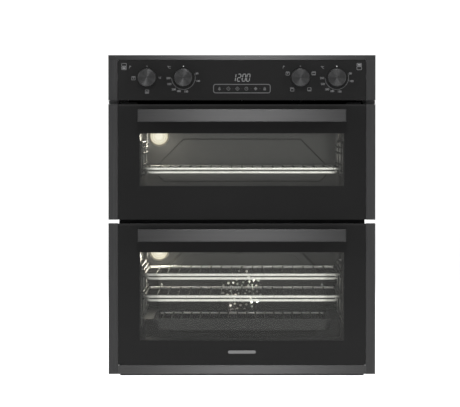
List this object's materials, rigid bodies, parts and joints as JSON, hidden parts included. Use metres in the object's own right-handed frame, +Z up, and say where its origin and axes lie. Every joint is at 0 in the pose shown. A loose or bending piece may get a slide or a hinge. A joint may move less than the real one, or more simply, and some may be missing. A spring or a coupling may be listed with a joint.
{
  "type": "wall oven",
  "caption": "Built-in wall oven with a short top oven above a tall fan oven, drop-down glass doors with flat bar handles, rotary controls and a clock panel.",
  "frame": {"origin": "centre of the base's underside, midway between the front of the handles and the back of the rear cover", "axes": "+Z up, -Y out of the doors towards the user, +X to the right of someone facing the oven"},
  "size_m": [0.594, 0.61, 0.715],
  "materials": {
    "galvanised": "matt zinc-coated sheet",
    "black_enamel": "glossy vitreous enamel",
    "cavity_enamel": "speckled glossy vitreous enamel",
    "mineral_wool": "rough fibrous",
    "lamp_ceramic": "matt",
    "lamp_glass": "clear, lit warm white",
    "lens_glass": "pressed clear",
    "element_alloy": "heat-darkened",
    "motor_steel": "satin",
    "fan_aluminium": "satin",
    "black_steel_trim": "dark brushed, satin",
    "dark_handle": "dark brushed, satin",
    "black_glass": "gloss, black printed back",
    "door_glass": "gloss, black printed border round a clear window",
    "clear_glass": "clear",
    "knob_metal": "radially spun, satin",
    "black_plastic": "matt moulded",
    "switch_plastic": "matt moulded",
    "gasket_glass_fibre": "knitted",
    "chrome_wire": "bright plated"
  },
  "bodies": {
    "chassis": {"base_pan": "galvanised", "side_panels": "galvanised", "top_panel": "galvanised", "rear_panel": "galvanised", "rear_fan_cover": "galvanised", "front_frame": "black_enamel", "fixing_brackets": "galvanised", "upper_cavity_liner": "cavity_enamel", "lower_cavity_liner": "cavity_enamel", "oven_insulation": "mineral_wool", "lamp_holders": "lamp_ceramic", "lamp_bulbs": "lamp_glass", "lamp_lenses": "lens_glass", "upper_grill_element": "element_alloy", "upper_base_element": "element_alloy", "fan_ring_element": "element_alloy", "circulation_fan_motor": "motor_steel", "fan_cover": "cavity_enamel", "cooling_fan_housing": "galvanised", "cooling_fan_motor": "motor_steel", "panel_trim": "black_steel_trim", "fascia_glass": "black_glass", "panel_carrier": "black_plastic", "clock_module": "black_plastic", "control_switches": "switch_plastic", "switch_bridge": "galvanised", "vent_trim": "black_plastic", "hinge_arms": "galvanised", "door_gaskets": "gasket_glass_fibre", "upper_side_racks": "chrome_wire", "lower_side_racks": "chrome_wire", "terminal_block": "black_plastic", "cable_gland": "black_plastic"},
    "upper_door": {"upper_door_side_trims": "black_steel_trim", "upper_door_outer_glass": "door_glass", "upper_door_hinge_channels": "galvanised", "upper_door_inner_glass": "clear_glass", "upper_door_profiles": "galvanised", "upper_door_handle_bar": "dark_handle", "upper_door_handle_posts": "dark_handle"},
    "lower_door": {"lower_door_side_trims": "black_steel_trim", "lower_door_outer_glass": "door_glass", "lower_door_bottom_trim": "black_steel_trim", "lower_door_hinge_channels": "galvanised", "lower_door_inner_glass": "clear_glass", "lower_door_profiles": "galvanised", "lower_door_handle_bar": "dark_handle", "lower_door_handle_posts": "dark_handle"},
    "upper_shelf": {"upper_wire_shelf": "chrome_wire"},
    "main_top_shelf": {"main_top_wire_shelf": "chrome_wire"},
    "main_middle_shelf": {"main_middle_wire_shelf": "chrome_wire"},
    "pan": {"grill_pan": "black_enamel", "grill_pan_trivet": "chrome_wire"},
    "main_function_control": {"main_function_knob": "knob_metal"},
    "main_temperature_control": {"main_temperature_knob": "knob_metal"},
    "top_function_control": {"top_function_knob": "knob_metal"},
    "top_temperature_control": {"top_temperature_knob": "knob_metal"},
    "circulation_fan": {"circulation_fan_wheel": "motor_steel"},
    "cooling_fan": {"cooling_fan_wheel": "fan_aluminium"}
  },
  "joints": [
    {"name": "upper_door_hinge", "type": "hinge", "parent": "chassis", "child": "upper_door", "pos_m": [0, -0.25, 0.367], "axis": [1, 0, 0], "range_deg": [0, 90], "stiffness_Nm_per_rad": 3, "springref_deg": -45.84},
    {"name": "lower_door_hinge", "type": "hinge", "parent": "chassis", "child": "lower_door", "pos_m": [0, -0.25, 0.0229], "axis": [1, 0, 0], "range_deg": [0, 90], "stiffness_Nm_per_rad": 4, "springref_deg": -45.84},
    {"name": "upper_shelf_slide", "type": "slide", "parent": "chassis", "child": "upper_shelf", "axis": [0, -1, 0], "range_m": [0, 0.1729]},
    {"name": "main_top_shelf_slide", "type": "slide", "parent": "chassis", "child": "main_top_shelf", "axis": [0, -1, 0], "range_m": [0, 0.2201]},
    {"name": "main_middle_shelf_slide", "type": "slide", "parent": "chassis", "child": "main_middle_shelf", "axis": [0, -1, 0], "range_m": [0, 0.2201]},
    {"name": "grill_pan_slide", "type": "slide", "parent": "chassis", "child": "pan", "axis": [0, -1, 0], "range_m": [0, 0.1887]},
    {"name": "main_function_knob_turn", "type": "hinge", "parent": "chassis", "child": "main_function_control", "pos_m": [-0.211, -0.25, 0.665], "axis": [0, 1, 0], "continuous": true},
    {"name": "main_temperature_knob_turn", "type": "hinge", "parent": "chassis", "child": "main_temperature_control", "pos_m": [-0.13, -0.25, 0.665], "axis": [0, 1, 0], "range_deg": [0, 275]},
    {"name": "top_function_knob_turn", "type": "hinge", "parent": "chassis", "child": "top_function_control", "pos_m": [0.13, -0.25, 0.665], "axis": [0, 1, 0], "continuous": true},
    {"name": "top_temperature_knob_turn", "type": "hinge", "parent": "chassis", "child": "top_temperature_control", "pos_m": [0.211, -0.25, 0.665], "axis": [0, 1, 0], "range_deg": [0, 275]},
    {"name": "circulation_fan_spin", "type": "hinge", "parent": "chassis", "child": "circulation_fan", "pos_m": [0, 0.2, 0.1677], "axis": [0, 1, 0], "continuous": true},
    {"name": "cooling_fan_spin", "type": "hinge", "parent": "chassis", "child": "cooling_fan", "pos_m": [0, 0.15, 0.648], "axis": [1, 0, 0], "continuous": true}
  ],
  "couplings": [
    {"joint": "upper_shelf_slide", "follows": "upper_door_hinge", "m_per_rad": 0.11},
    {"joint": "main_top_shelf_slide", "follows": "lower_door_hinge", "m_per_rad": 0.14},
    {"joint": "main_middle_shelf_slide", "follows": "lower_door_hinge", "m_per_rad": 0.14},
    {"joint": "grill_pan_slide", "follows": "lower_door_hinge", "m_per_rad": 0.12}
  ]
}
